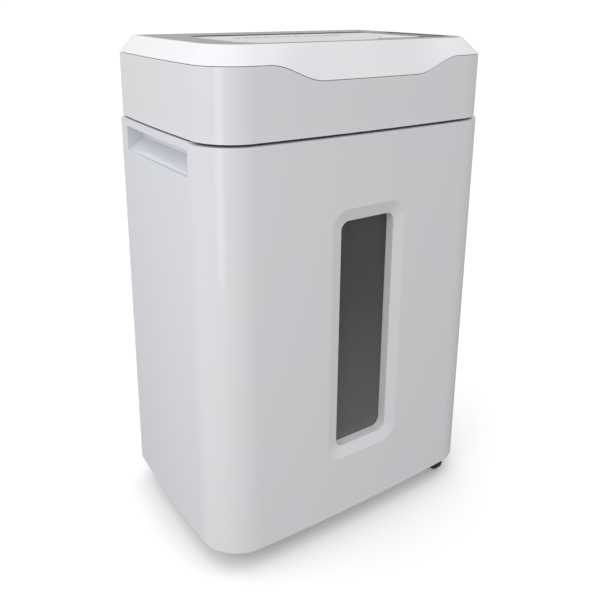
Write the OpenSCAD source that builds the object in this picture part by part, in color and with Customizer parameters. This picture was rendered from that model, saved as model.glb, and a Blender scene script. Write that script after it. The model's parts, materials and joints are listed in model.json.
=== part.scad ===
// Deskside paper shredder on casters, with a pull-out bin.
// Millimetres. +Z is up, the front faces -Y, the floor is z = 0 and the origin is the centre of the footprint.

/* [Cabinet] */
// Overall width at the widest point
body_w = 370; // [350:5:400]
// Overall depth
body_d = 232; // [226:2:250]
// Height of the cabinet from its bottom edge to the head joint
cabinet_h = 450; // [440:5:480]
// Gap between the floor and the bottom edge of the cabinet
floor_gap = 25; // [25:1:28]
// Outside radius of the front corners
corner_r = 44; // [40:1:48]
// Thickness of the moulded walls
wall = 3; // [2.5:0.5:3]

/* [Head] */
// Height of the head from the joint to the top plate
head_h = 90; // [90:1:94]
// How far the head stands in from the cabinet below it
head_step = 2.6; // [2:0.2:3]
// Height of the chamfered bezel at the sides
bezel_h = 18; // [16:1:20]
// How far the chamfer leans in
bezel_in = 16; // [14:1:18]
// How much further the chamfer comes down in the middle of the front
dip_h = 17; // [12:1:17]

/* [Window] */
// Width of the window surround
window_w = 100; // [90:2:110]
// Height of the window surround
window_h = 298; // [280:2:310]
// Height of the window's centre above the floor
window_z = 248; // [244:1:252]
// Width of the sloped border around the opening
window_bevel = 14; // [10:1:16]

/* [Cutters] */
// Width of the paper slot
slot_w = 232; // [224:1:234]
// Distance from the middle of the machine back to the paper slot
slot_y = 52; // [50:0.5:53]
// Number of cutter discs on each shaft
disc_count = 28; // [20:1:28]
// Outside radius of a cutter disc
disc_r = 19; // [18:0.5:19]

/* [Casters] */
// Radius of a caster wheel
wheel_r = 12; // [11:0.5:12.5]
// Distance from a caster's stem to its wheel axle
caster_trail = 12; // [10:1:12]

/* [Hidden] */
$fn = 48;
EPS = 0.01;

// Clearances
run_gap = 0.05;
part_gap = 0.3;

// Levels
cab_z0 = floor_gap;
cab_z1 = cab_z0 + cabinet_h;
head_z0 = cab_z1 + 1;
top_z = cab_z1 + head_h;
bezel_z = top_z - bezel_h;
dip_z = bezel_z - dip_h;
plate_t = 4;

// Bow of the walls: the front and the sides are slightly crowned
front_bow = 5.7;
side_bow = 4.5;
bow_y = -22;
side_steps = 8;
arc_steps = 10;
front_steps = 32;

// The bin front wraps round both corners as far back as this line
seam_y = -70;
seam_gap = 1;

// Displaces a point of a plain rounded outline onto the crowned walls
function bowed(p) = [
    p[0] - side_bow * pow((p[1] - bow_y) / (body_d / 2 - bow_y), 2) * p[0] / (body_w / 2),
    p[1] + front_bow * pow(p[0] / (body_w / 2), 2) * (body_d / 2 - p[1]) / body_d
];

// Open line round the right side, the front and the left side, from y_end to y_end
function wrap(inset, y_end, side_in = 0, front_in = 0) =
    let (
        hx = body_w / 2 - inset - side_in,
        fy = inset + front_in - body_d / 2,
        r = max(corner_r - inset - side_in / 4, 2)
    )
    concat(
        [for (i = [0 : side_steps]) bowed([hx, y_end + (fy + r - y_end) * i / side_steps])],
        [for (i = [1 : arc_steps])
            let (a = 90 * i / arc_steps)
            bowed([hx - r + r * cos(a), fy + r - r * sin(a)])],
        [for (i = [1 : front_steps]) bowed([(hx - r) * (1 - 2 * i / front_steps), fy])],
        [for (i = [1 : arc_steps])
            let (a = 90 + 90 * i / arc_steps)
            bowed([r - hx + r * cos(a), fy + r - r * sin(a)])],
        [for (i = [1 : side_steps]) bowed([-hx, fy + r + (y_end - fy - r) * i / side_steps])]
    );

// Line down one side, from y0 to y1
function side_line(inset, y0, y1) =
    [for (i = [0 : side_steps]) bowed([body_w / 2 - inset, y0 + (y1 - y0) * i / side_steps])];

function reversed(list) = [for (i = [len(list) - 1 : -1 : 0]) list[i]];

// Height of the chamfer's lower edge across the front
dip_flat = 60;
dip_end = 122;
function dip(x) =
    let (t = min(max((abs(x) - dip_flat) / (dip_end - dip_flat), 0), 1))
    dip_z + dip_h * (1 - cos(180 * t)) / 2;

module slab(points, z0, z1) {
    translate([0, 0, z0]) linear_extrude(z1 - z0) polygon(points);
}

module box(low, high) {
    translate(low) cube(high - low);
}

// Cylinder along X
module rod_x(x0, x1, y, z, r) {
    translate([x0, y, z]) rotate([0, 90, 0]) cylinder(h = x1 - x0, r = r);
}

// Cylinder along Y
module rod_y(y0, y1, x, z, r) {
    translate([x, y0, z]) rotate([-90, 0, 0]) cylinder(h = y1 - y0, r = r);
}

module rod_z(z0, z1, x, y, r) {
    translate([x, y, z0]) cylinder(h = z1 - z0, r = r);
}

// Rounded rectangle in the X-Z plane, from y0 to y1
module rounded_xz(w, h, r, y0, y1, x = 0, z = 0) {
    translate([x, y1, z]) rotate([90, 0, 0]) linear_extrude(y1 - y0) rounded(w, h, r);
}

function corner_points(w, h, r, n = 8) =
    [for (q = [0 : 3]) for (i = [0 : n])
        let (a = 90 * q + 90 * i / n, sx = (q == 0 || q == 3) ? 1 : -1, sy = q < 2 ? 1 : -1)
        [sx * (w / 2 - r) + r * cos(a), sy * (h / 2 - r) + r * sin(a)]];

module rounded(w, h, r) {
    polygon(corner_points(w, h, r));
}

// ---------------------------------------------------------------- cabinet

pocket_y0 = -62;
pocket_y1 = 96;
pocket_z0 = cab_z1 - 35;
pocket_z1 = cab_z1 - 8;
pocket_deep = 20;
pocket_wall = 2.5;

// Section of the handle pocket: a ramp that climbs inwards to a short upright wall
module pocket_section(grow) {
    polygon([
        [-8, pocket_z0 - grow],
        [3, pocket_z0 - grow],
        [pocket_deep + grow, pocket_z0 + 13 - grow],
        [pocket_deep + grow, pocket_z1 + grow],
        [-8, pocket_z1 + grow]
    ]);
}

module pocket_block(grow) {
    x0 = body_w / 2 - 1;
    translate([x0, pocket_y1 + grow, 0]) rotate([90, 0, 0]) mirror([1, 0, 0])
        linear_extrude(pocket_y1 - pocket_y0 + 2 * grow) pocket_section(grow);
}

module side_panel() {
    y0 = seam_y + seam_gap / 2;
    y1 = body_d / 2 - wall - part_gap;
    outer = side_line(0, y0, y1);
    inner = side_line(wall, y0, y1);
    difference() {
        union() {
            slab(concat(outer, reversed(inner)), cab_z0, cab_z1);
            // return flange behind the bin front's edge
            slab([for (p = [[171, y0], [183, y0], [183, y0 + wall], [171, y0 + wall]]) bowed(p)],
                base_z + base_t + part_gap, cab_z1);
            // floor flange that carries the base pan
            box([body_w / 2 - 14, y0 + 4, base_z - 3], [body_w / 2 - 6, y1, base_z]);
            // rear flange that takes the back panel's screws
            box([body_w / 2 - 27, y1 - wall, base_z + base_t + 1], [body_w / 2 - 6.5, y1, cab_z1 - 5]);
            intersection() {
                pocket_block(pocket_wall);
                slab(concat(side_line(0.5, y0, y1), [[100, y1], [100, y0]]), cab_z0, cab_z1);
            }
        }
        pocket_block(0);
        for (z = back_screw_z)
            rod_y(y1 - wall - 1, y1 + 1, back_screw_x, z, 2.05);
    }
}

module side_panel_right() {
    color("whitesmoke") side_panel();
}

module side_panel_left() {
    color("whitesmoke") mirror([1, 0, 0]) side_panel();
}

back_screw_x = 166;
screw_head = 2;
back_screw_z = [cab_z0 + 36, cab_z1 - 20];

module back_panel() {
    rear_half = bowed([body_w / 2, body_d / 2])[0];
    color("whitesmoke")
    difference() {
        box([-rear_half, body_d / 2 - wall, cab_z0], [rear_half, body_d / 2, cab_z1]);
        for (x = [-1, 1]) for (z = back_screw_z)
            union() {
                rod_y(body_d / 2 - wall - 1, body_d / 2 + 1, x * back_screw_x, z, 2.1);
                rod_y(body_d / 2 - screw_head, body_d / 2 + 1, x * back_screw_x, z, 4.2);
            }
    }
}

base_z = 41;
base_t = 4;
socket_top = 60;
socket_r = 7;
stem_r = 4;
stem_x = 147;
stem_front_y = -79;
stem_rear_y = 84;
stems = [[-stem_x, stem_front_y], [stem_x, stem_front_y], [-stem_x, stem_rear_y], [stem_x, stem_rear_y]];

module base_pan() {
    color("gainsboro")
    difference() {
        union() {
            slab(wrap(8, body_d / 2 - wall - 1), base_z, base_z + base_t);
            for (s = stems)
                rod_z(base_z, socket_top, s[0], s[1], socket_r + 4);
            box([-140, body_d / 2 - wall - 5, base_z], [140, body_d / 2 - wall - 1, base_z + 24]);
        }
        for (s = stems)
            rod_z(base_z - EPS, socket_top + EPS, s[0], s[1], socket_r);
    }
}

module caster_sockets() {
    color("dimgray")
    for (s = stems)
        difference() {
            union() {
                rod_z(base_z - 1, socket_top, s[0], s[1], socket_r - run_gap);
                rod_z(base_z - 2, base_z - run_gap, s[0], s[1], socket_r + 3);
            }
            rod_z(base_z - 3, socket_top - 2, s[0], s[1], stem_r + run_gap);
        }
}

chute_x = 118;
chute_y0 = 12;
chute_y1 = 92;

head_screw_x = 130;
head_screw_y = [-50, 102];

module top_deck() {
    color("gainsboro")
    difference() {
        union() {
            // its front corners clear the side panels' flanges
            slab([[-176, -61.5], [-176, 112.5], [176, 112.5], [176, -61.5], [168, -61.5], [168, -66],
                [-168, -66], [-168, -61.5]], cab_z1 - 4, head_z0 - run_gap);
            box([-150, -66, cab_z1 - 16], [150, -63, cab_z1 - 3]);
        }
        box([-chute_x, chute_y0, cab_z1 - 6], [chute_x, chute_y1, head_z0 + 1]);
        for (x = [-1, 1]) for (y = head_screw_y)
            rod_z(cab_z1 - 5, head_z0 + 1, x * head_screw_x, y, 2.05);
    }
}

tub_x = 160;
tub_y0 = -95;
tub_y1 = 106;
tub_z0 = 66;
tub_z1 = 432;
tub_t = 2.5;

// Runner: the bin's floor slides on its top and its upright guides the bin's side
module rail_profile() {
    foot = base_z + base_t;
    top = tub_z0 - part_gap;
    polygon([
        [118, foot], [132, foot], [132, foot + 2.5], [124, foot + 2.5],
        [124, top - 2.5], [tub_x + 3.5, top - 2.5], [tub_x + 3.5, top + 14],
        [tub_x + 1, top + 14], [tub_x + 1, top], [118, top]
    ]);
}

module bin_rail_right() {
    color("silver") translate([0, 104, 0]) rotate([90, 0, 0]) linear_extrude(160) rail_profile();
}

module bin_rail_left() {
    color("silver") mirror([1, 0, 0]) translate([0, 104, 0]) rotate([90, 0, 0]) linear_extrude(160) rail_profile();
}

module bin_sensor() {
    color("dimgray") box([40, tub_y1 + 1, 418], [70, body_d / 2 - wall - part_gap, 428]);
}

module bin_magnet() {
    color("dimgray") box([46, tub_y1 - 8, 419], [64, tub_y1 - tub_t, 427]);
}

// ---------------------------------------------------------------- bin

pane_y = -101;
pane_t = 2.5;
open_w = window_w - 2 * window_bevel;
open_h = window_h - 2 * window_bevel;

module bin_front_panel() {
    y_end = seam_y - seam_gap / 2;
    z1 = cab_z1 - 1.5;
    color("white")
    difference() {
        union() {
            slab(concat(wrap(0, y_end), reversed(wrap(wall, y_end))), cab_z0, z1);
            // top return
            slab(concat(wrap(1, y_end), reversed(wrap(14, y_end))), z1 - wall, z1);
            rounded_xz(window_w + 8, window_h + 8, 24, 2 - body_d / 2, pane_y - run_gap, 0, window_z);
            // posts that carry the tub
            for (x = [-1, 1]) for (z = [110, 390])
                rod_y(3 - body_d / 2, tub_y0 - run_gap, x * 90, z, 6);
        }
        hull() {
            rounded_xz(window_w, window_h, 20, -body_d / 2 - 1, -body_d / 2, 0, window_z);
            rounded_xz(open_w, open_h, 10, 3.9 - body_d / 2, 4 - body_d / 2, 0, window_z);
        }
        rounded_xz(open_w, open_h, 10, -body_d / 2, pane_y + 1, 0, window_z);
        for (x = [-1, 1]) for (z = [-1, 0, 1])
            rod_y(pane_y - 7, pane_y + 1, x * (open_w / 2 + 10), window_z + z * (open_h / 2 - 12), 1.55);
    }
}

module window_pane() {
    color([0.25, 0.27, 0.28, 0.6])
        rounded_xz(open_w + 10, open_h + 10, 12, pane_y, pane_y + pane_t, 0, window_z);
}

module window_retainer() {
    color("gray")
    difference() {
        rounded_xz(window_w + 4, window_h + 4, 14, pane_y + pane_t + run_gap, tub_y0 - part_gap, 0, window_z);
        rounded_xz(open_w - 2, open_h - 2, 10, pane_y, tub_y0 + 1, 0, window_z);
        for (x = [-1, 1]) for (z = [-1, 0, 1])
            rod_y(pane_y, tub_y0, x * (open_w / 2 + 10), window_z + z * (open_h / 2 - 12), 1.6);
    }
}

module retainer_screws() {
    color("silver")
    for (x = [-1, 1]) for (z = [-1, 0, 1])
        union() {
            rod_y(pane_y - 6, tub_y0 - part_gap, x * (open_w / 2 + 10), window_z + z * (open_h / 2 - 12), 1.5);
            rod_y(tub_y0 - part_gap, tub_y0 + 1.2, x * (open_w / 2 + 10), window_z + z * (open_h / 2 - 12), 3);
        }
}

module bin_tub() {
    color([0.78, 0.79, 0.8])
    difference() {
        union() {
            box([-tub_x, tub_y0, tub_z0], [tub_x, tub_y1, tub_z1]);
            box([-tub_x - 0.5, tub_y0, tub_z1 - 4], [tub_x + 0.5, tub_y1 + 0.5, tub_z1]);
        }
        box([-tub_x + tub_t, tub_y0 + tub_t, tub_z0 + tub_t], [tub_x - tub_t, tub_y1 - tub_t, tub_z1 + 1]);
        rounded_xz(window_w + 8, window_h + 8, 16, tub_y0 - 1, tub_y0 + tub_t + 1, 0, window_z);
    }
}

// ---------------------------------------------------------------- head

vent_count = 14;
vent_pitch = 8;
vent_x0 = 20;

module head_shell() {
    z1 = bezel_z - 0.2;
    front_curve = [for (x = [-dip_end : 4 : dip_end]) [x, dip(x) - 0.2]];
    color("whitesmoke")
    difference() {
        slab(wrap(head_step, body_d / 2), head_z0, z1);
        slab(wrap(head_step + wall, body_d / 2 - wall), head_z0 - 1, z1 + 1);
        translate([0, -80, 0]) rotate([90, 0, 0]) linear_extrude(60)
            polygon(concat(front_curve, [[dip_end, top_z], [-dip_end, top_z]]));
        // rear vents behind the motor
        for (i = [0 : vent_count - 1])
            box([vent_x0 + vent_pitch * i, body_d / 2 - wall - 1, 496],
                [vent_x0 + vent_pitch * i + 3, body_d / 2 + 1, 524]);
        // rear openings for the inlet and the mains switch
        box([inlet_x - 15, body_d / 2 - wall - 1, inlet_z - 12], [inlet_x + 15, body_d / 2 + 1, inlet_z + 12]);
        box([switch_x - 10, body_d / 2 - wall - 1, inlet_z - 10], [switch_x + 10, body_d / 2 + 1, inlet_z + 10]);
    }
}

module head_base() {
    color("dimgray")
    difference() {
        slab(wrap(head_step + wall + part_gap, body_d / 2 - wall - part_gap), head_z0, head_z0 + 3);
        box([-chute_x, chute_y0, head_z0 - 1], [chute_x, chute_y1, head_z0 + 4]);
        for (x = [-1, 1]) for (y = head_screw_y)
            rod_z(head_z0 - 1, head_z0 + 4, x * head_screw_x, y, 2.1);
    }
}

// Ruled chamfer between the wavy lower edge and the plain upper edge
rim_w = 1.5;
module top_bezel() {
    rear = body_d / 2;
    outer_low = wrap(head_step, rear);
    outer_top = wrap(head_step, rear, bezel_in, bezel_in);
    inner_top = wrap(head_step + rim_w, rear - wall, bezel_in, bezel_in);
    inner_low = wrap(head_step + 4, rear - wall);
    n = len(outer_low);
    function low_z(p) = p[1] < -80 ? dip(p[0]) : bezel_z;
    function station(i) = [
        [outer_low[i][0], outer_low[i][1], low_z(outer_low[i])],
        [outer_top[i][0], outer_top[i][1], top_z],
        [inner_top[i][0], inner_top[i][1], top_z],
        [inner_top[i][0], inner_top[i][1], top_z - plate_t],
        [inner_low[i][0], inner_low[i][1], low_z(outer_low[i])]
    ];
    points = [for (i = [0 : n - 1]) each station(i)];
    faces = [for (i = [0 : n - 1]) for (j = [0 : 4])
        let (a = 5 * i + j, b = 5 * i + (j + 1) % 5, c = 5 * ((i + 1) % n) + j, d = 5 * ((i + 1) % n) + (j + 1) % 5)
        each [[a, b, d], [a, d, c]]];
    color("white") polyhedron(points = points, faces = faces);
}

plate_in = bezel_in + rim_w + 0.1;
throat_t = 2.5;
slot_open = 6;

module top_plate() {
    color("darkgray")
    difference() {
        slab(wrap(head_step, body_d / 2 - wall - 0.1, plate_in, plate_in), top_z - plate_t, top_z);
        box([-slot_w / 2 - throat_t, slot_y - slot_open / 2 - throat_t, top_z - plate_t - 1],
            [slot_w / 2 + throat_t, slot_y + slot_open / 2 + throat_t, top_z + 1]);
        box([display_x0, display_y0, top_z - 2], [display_x1, display_y1, top_z + 1]);
    }
}

label_t = 0.4;
label_x0 = -129;
label_y0 = -86;
label_y1 = 30;
wedge_rear_x = 90;
wedge_front_x = 44;
wedge_front_y = -68;
label_bulge = 12;

// Curved boundary between the label panel and the control wedge
function divide(t) =
    let (s = sin(180 * t))
    [wedge_front_x + (wedge_rear_x - wedge_front_x) * t + label_bulge * s,
     wedge_front_y + (label_y1 - wedge_front_y) * t - 0.4 * label_bulge * s];

module label_panel() {
    r = 34;
    corner = [for (i = [0 : 8]) let (a = 180 + 90 * i / 8) [label_x0 + r + r * cos(a), label_y0 + r + r * sin(a)]];
    rear_corner = [for (i = [0 : 4]) let (a = 90 + 90 * i / 4) [label_x0 + 6 + 6 * cos(a), label_y1 - 6 + 6 * sin(a)]];
    color("lightgray")
        slab(concat(rear_corner, corner, [[wedge_front_x - 22, label_y0]],
            [for (i = [0 : 10]) divide(i / 10)]), top_z + EPS, top_z + label_t);
}

display_x0 = 102;
display_x1 = 150;
display_y0 = -66;
display_y1 = 32;

module control_wedge() {
    color("white")
        slab(concat([for (i = [0 : 10]) divide(i / 10) + [1, 0]],
            [[display_x0 - 0.5, label_y1], [display_x0 - 0.5, wedge_front_y]]), top_z + EPS, top_z + label_t);
}

module display_panel() {
    color([0.12, 0.12, 0.13])
        translate([(display_x0 + display_x1) / 2, (display_y0 + display_y1) / 2, top_z - 2])
        linear_extrude(2 + label_t) rounded(display_x1 - display_x0 - 0.4, display_y1 - display_y0 - 0.4, 4);
}

throat_z0 = 530;

module feed_throat() {
    half = slot_open / 2;
    color([0.15, 0.15, 0.16])
    difference() {
        union() {
            box([-slot_w / 2 - throat_t + 0.2, slot_y - half - throat_t + 0.2, throat_z0],
                [slot_w / 2 + throat_t - 0.2, slot_y + half + throat_t - 0.2, top_z + label_t]);
            // flange that hangs the throat under the top plate
            box([-slot_w / 2 - 8, slot_y - half - 8, top_z - plate_t - 2.6],
                [slot_w / 2 + 8, slot_y + half + 8, top_z - plate_t - run_gap]);
        }
        box([-slot_w / 2, slot_y - half, throat_z0 - 1], [slot_w / 2, slot_y + half, top_z + 2]);
    }
}

// ---------------------------------------------------------------- cutting mechanism

shaft_z = 508;
shaft_gap = 30;
front_y = slot_y - shaft_gap / 2;
rear_y = slot_y + shaft_gap / 2;
frame_x = 122;
frame_t = 4;
shaft_r = 9;
journal_r = 7;
bush_r = 9.5;
disc_pitch = 8.2;
disc_t = 3.4;

// Gear train, tooth counts and modules
sync_z = 15;
sync_m = 2;
drive_z = 24;
slow_pinion_z = 12;
slow_gear_z = 40;
slow_m = 1.25;
fast_pinion_z = 12;
fast_gear_z = 50;
motor_pinion_z = 12;
fast_m = 1;

// Directions of the gear centres, in degrees in the Y-Z plane
slow_dir = 162;
fast_dir = 197.5;
motor_dir = 170;
function polar(r, a) = [r * cos(a), r * sin(a)];
front_axis = [front_y, shaft_z];
rear_axis = [rear_y, shaft_z];
slow_axis = front_axis + polar((drive_z + slow_pinion_z) * sync_m / 2, slow_dir);
fast_axis = slow_axis + polar((slow_gear_z + fast_pinion_z) * slow_m / 2, fast_dir);
motor_axis = fast_axis + polar((fast_gear_z + motor_pinion_z) * fast_m / 2, motor_dir);

// Phase of a follower gear whose partner, at phase_a, lies in the opposite of direction dir
function mesh_phase(phase_a, za, zb, dir) = dir + 180 + 180 / zb - (phase_a - dir) * za / zb;
slow_pinion_phase = mesh_phase(0, drive_z, slow_pinion_z, slow_dir);
fast_pinion_phase = mesh_phase(0, slow_gear_z, fast_pinion_z, fast_dir);
motor_pinion_phase = mesh_phase(0, fast_gear_z, motor_pinion_z, motor_dir);
sync_rear_phase = mesh_phase(0, sync_z, sync_z, 0);

pin_r = 3;
fast_x0 = 130;
slow_x0 = 138;
drive_x0 = 146;

// Involute gear outline with thinned teeth, one tooth centred at angle 0
function involute(rb, t) = [rb * sqrt(1 + t * t), t * 180 / PI - atan(t)];
function gear_points(z, m, thin = 0.35) =
    let (
        rp = z * m / 2,
        rb = rp * cos(20),
        ro = rp + 0.9 * m,
        rr = rp - 1.2 * m,
        half = 90 / z - (thin / 2 / rp) * 180 / PI + (tan(20) * 180 / PI - 20),
        t_out = sqrt(pow(ro / rb, 2) - 1),
        flank = [for (i = [0 : 4]) involute(rb, t_out * i / 4)]
    )
    [for (k = [0 : z - 1]) let (mid = 360 * k / z) each concat(
        [polar(min(rr, rb), mid - half)],
        [for (p = flank) polar(p[0], mid - half + p[1])],
        [for (p = reversed(flank)) polar(p[0], mid + half - p[1])],
        [polar(min(rr, rb), mid + half)]
    )];

// Gear along X
module gear(z, m, x0, x1, axis, phase) {
    translate([x0, axis[0], axis[1]]) rotate([90, 0, 90]) rotate(phase)
        linear_extrude(x1 - x0) polygon(gear_points(z, m));
}

// Hooked cross-cut disc
function disc_points(r, hooks = 6) =
    [for (k = [0 : hooks - 1]) let (a = 360 * k / hooks) each [
        polar(r, a), polar(r - 0.6, a + 18), polar(r - 1.2, a + 38), polar(r - 3, a + 50), polar(r - 3.2, a + 56)
    ]];

module disc_stack(axis, offset, turn) {
    for (i = [0 : disc_count - 1])
        translate([(i - (disc_count - 1) / 2) * disc_pitch + offset - disc_t / 2, axis[0], axis[1]])
            rotate([90, 0, 90]) rotate(turn + 13 * i) linear_extrude(disc_t) polygon(disc_points(disc_r));
}

disc_offset = disc_pitch / 4;

module cutter_front() {
    color("slategray")
    union() {
        rod_x(-frame_x + 0.5, frame_x - 0.5, front_axis[0], front_axis[1], shaft_r);
        rod_x(-142, 158, front_axis[0], front_axis[1], journal_r);
        disc_stack(front_axis, -disc_offset, 0);
        gear(sync_z, sync_m, -140, -131, front_axis, 0);
        gear(drive_z, sync_m, drive_x0, drive_x0 + 9, front_axis, 0);
    }
}

module cutter_rear() {
    color("slategray")
    union() {
        rod_x(-frame_x + 0.5, frame_x - 0.5, rear_axis[0], rear_axis[1], shaft_r);
        rod_x(-142, 128, rear_axis[0], rear_axis[1], journal_r);
        disc_stack(rear_axis, disc_offset, 30);
        gear(sync_z, sync_m, -140, -131, rear_axis, sync_rear_phase);
    }
}

module idler(big_z, big_m, big_x, big_w, small_z, small_m, small_x, small_w, axis, big_phase, small_phase) {
    difference() {
        union() {
            gear(big_z, big_m, big_x, big_x + big_w, axis, big_phase);
            gear(small_z, small_m, small_x, small_x + small_w, axis, small_phase);
            rod_x(min(big_x, small_x), max(big_x + big_w, small_x + small_w), axis[0], axis[1], pin_r + 2);
        }
        rod_x(100, 170, axis[0], axis[1], pin_r + run_gap);
    }
}

module idler_slow() {
    color("gray")
        idler(slow_gear_z, slow_m, slow_x0, 5, slow_pinion_z, sync_m, drive_x0 - 1, 11,
            slow_axis, 0, slow_pinion_phase);
}

module idler_fast() {
    color("gray")
        idler(fast_gear_z, fast_m, fast_x0, 4, fast_pinion_z, slow_m, slow_x0 - 1, 7,
            fast_axis, 0, fast_pinion_phase);
}

rod_spots = [[slot_y - 38, 487], [slot_y + 38, 487], [slot_y - 38, 529], [slot_y + 38, 529]];

module frame_plate(x0, y0, y1) {
    difference() {
        box([x0, y0, head_z0 + 3], [x0 + frame_t, y1, 538]);
        for (a = [front_axis, rear_axis]) rod_x(x0 - 1, x0 + frame_t + 1, a[0], a[1], bush_r);
        for (s = rod_spots) rod_x(x0 - 1, x0 + frame_t + 1, s[0], s[1], 2.5);
        children();
    }
}

module cutter_frame_left() {
    color("silver") frame_plate(-frame_x - frame_t, slot_y - 44, slot_y + 44);
}

module cutter_frame_right() {
    color("silver") frame_plate(frame_x, motor_axis[0] - 32, slot_y + 44) {
        rod_x(frame_x - 1, frame_x + 5, slow_axis[0], slow_axis[1], pin_r);
        rod_x(frame_x - 1, frame_x + 5, fast_axis[0], fast_axis[1], pin_r);
        rod_x(frame_x - 1, frame_x + 5, motor_axis[0], motor_axis[1], 9);
    }
}

module tie_rods() {
    color("silver")
    for (s = rod_spots) {
        rod_x(-frame_x, frame_x, s[0], s[1], 4);
        rod_x(-frame_x - frame_t - 1, frame_x + frame_t + 1, s[0], s[1], 2.5);
    }
}

module shaft_bushes() {
    color("peru")
    for (a = [front_axis, rear_axis]) for (x = [-frame_x - frame_t, frame_x])
        difference() {
            rod_x(x, x + frame_t, a[0], a[1], bush_r);
            rod_x(x - 1, x + frame_t + 1, a[0], a[1], journal_r + run_gap);
        }
}

// Comb whose teeth reach between the discs of one shaft and strip the paper from it
module comb(axis, side, offset) {
    far = axis[0] + side * (disc_r + 2.5);
    edge = axis[0] + side * (disc_r + 1.5);
    union() {
        box([-frame_x, min(far, edge), shaft_z - 12], [frame_x, max(far, edge), shaft_z + 12]);
        for (i = [0 : disc_count - 2])
            translate([(i - (disc_count - 2) / 2) * disc_pitch + offset - 1.2, 0, 0])
                box([0, min(far, axis[0] + side * (shaft_r + 1)), shaft_z - 7],
                    [2.4, max(far, axis[0] + side * (shaft_r + 1)), shaft_z + 7]);
    }
}

module comb_front() {
    color("dimgray") comb(front_axis, -1, -disc_offset);
}

module comb_rear() {
    color("dimgray") comb(rear_axis, 1, disc_offset);
}

module gear_pins() {
    color("silver")
    for (a = [slow_axis, fast_axis]) rod_x(frame_x, 162, a[0], a[1], pin_r);
}

cover_x = 159;
module gearbox_cover() {
    y0 = motor_axis[0] - 13;
    y1 = front_y + 30;
    color("dimgray")
    difference() {
        union() {
            box([cover_x, y0, head_z0 + 3.2], [cover_x + 3, y1, 547]);
            box([frame_x + frame_t, y0, head_z0 + 3.2], [cover_x + EPS, y0 + 2.5, 547]);
            box([frame_x + frame_t, y1 - 2.5, head_z0 + 3.2], [cover_x + EPS, y1, 536]);
        }
        for (a = [slow_axis, fast_axis]) rod_x(cover_x - 1, cover_x + 4, a[0], a[1], pin_r);
        rod_x(frame_x + 1, cover_x - 1, rear_y, shaft_z, 10);
    }
}

// ---------------------------------------------------------------- motor and electrics

motor_x0 = 24;
motor_x1 = frame_x;
motor_r = 29;

module motor_can() {
    color("silver")
    difference() {
        rod_x(motor_x0, motor_x1, motor_axis[0], motor_axis[1], motor_r);
        rod_x(motor_x0 + 3, motor_x1 - 3, motor_axis[0], motor_axis[1], motor_r - 2);
        rod_x(motor_x0 - 1, motor_x1 + 1, motor_axis[0], motor_axis[1], 4 + run_gap);
    }
}

module motor_stator() {
    color("slategray")
    difference() {
        rod_x(46, 100, motor_axis[0], motor_axis[1], motor_r - 2.3);
        rod_x(45, 101, motor_axis[0], motor_axis[1], 17.5);
    }
}

module motor_rotor() {
    color("gray")
    union() {
        rod_x(48, 98, motor_axis[0], motor_axis[1], 17);
        rod_x(0, fast_x0, motor_axis[0], motor_axis[1], 4);
        gear(motor_pinion_z, fast_m, fast_x0 - 2, fast_x0 + 5, motor_axis, motor_pinion_phase);
    }
}

module motor_fan() {
    color("ivory")
    difference() {
        union() {
            rod_x(4, 16, motor_axis[0], motor_axis[1], 8);
            for (i = [0 : 6])
                translate([10, motor_axis[0], motor_axis[1]]) rotate([360 * i / 7, 0, 0])
                    translate([0, 15, 0]) rotate([0, 28, 0]) cube([2, 18, 9], center = true);
        }
        rod_x(3, 17, motor_axis[0], motor_axis[1], 4);
    }
}

board_z = 488;

module circuit_board() {
    color("seagreen")
    union() {
        box([-135, -92, board_z], [-25, -8, board_z + 1.6]);
        for (x = [-130, -30]) for (y = [-87, -13]) rod_z(head_z0 + 3, board_z, x, y, 3);
    }
}

module board_parts() {
    top = board_z + 1.6;
    color("darkslategray") {
        box([-128, -40, top], [-98, -14, top + 24]);
        box([-92, -34, top], [-74, -16, top + 16]);
        box([-70, -34, top], [-52, -16, top + 16]);
        box([-120, -70, top], [-100, -62, top + 3]);
        box([-96, -88, top], [-60, -80, top + 10]);
        for (x = [-90, -78, -66]) rod_z(top, top + 14, x, -58, 4.5);
    }
}

module run_capacitor() {
    color("whitesmoke") rod_y(-80, -30, -152, head_z0 + 15.2, 12);
}

// Appliance inlet: the detachable mains lead plugs in here
inlet_x = -145;
inlet_z = 508;
module power_inlet() {
    color([0.1, 0.1, 0.1]) {
        difference() {
            box([inlet_x - 14.7, 92, inlet_z - 11.7], [inlet_x + 14.7, body_d / 2 - 0.2, inlet_z + 11.7]);
            box([inlet_x - 12, 98, inlet_z - 8.5], [inlet_x + 12, body_d / 2, inlet_z + 8.5]);
        }
        for (x = [-7, 0, 7])
            box([inlet_x + x - 1, 97, inlet_z - 2 + (x == 0 ? 3 : 0)], [inlet_x + x + 1, 112, inlet_z + 2 + (x == 0 ? 3 : 0)]);
    }
}

switch_x = -96;
rocker_y = 108;
trunnion_r = 1.2;
module switch_housing() {
    color([0.1, 0.1, 0.1])
    difference() {
        box([switch_x - 9.7, 92, inlet_z - 9.7], [switch_x + 9.7, body_d / 2 - 1.5, inlet_z + 9.7]);
        box([switch_x - 7.5, 97, inlet_z - 8.6], [switch_x + 7.5, body_d / 2, inlet_z + 8.6]);
        rod_x(switch_x - 9, switch_x + 9, rocker_y, inlet_z, trunnion_r + run_gap);
    }
}

// Rocker that tips about a pin along X
module mains_rocker() {
    color("firebrick") union() {
        translate([switch_x + 7, rocker_y, inlet_z]) rotate([90, 0, -90])
            linear_extrude(14) polygon([
                [-6.2, -7.2], [-4, -7.4], [3, -5.5], [3, 5.5], [-4, 7.4], [-6.2, 7.2], [-4.6, 0]
            ]);
        rod_x(switch_x - 8.8, switch_x + 8.8, rocker_y, inlet_z, trunnion_r);
    }
}

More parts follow.
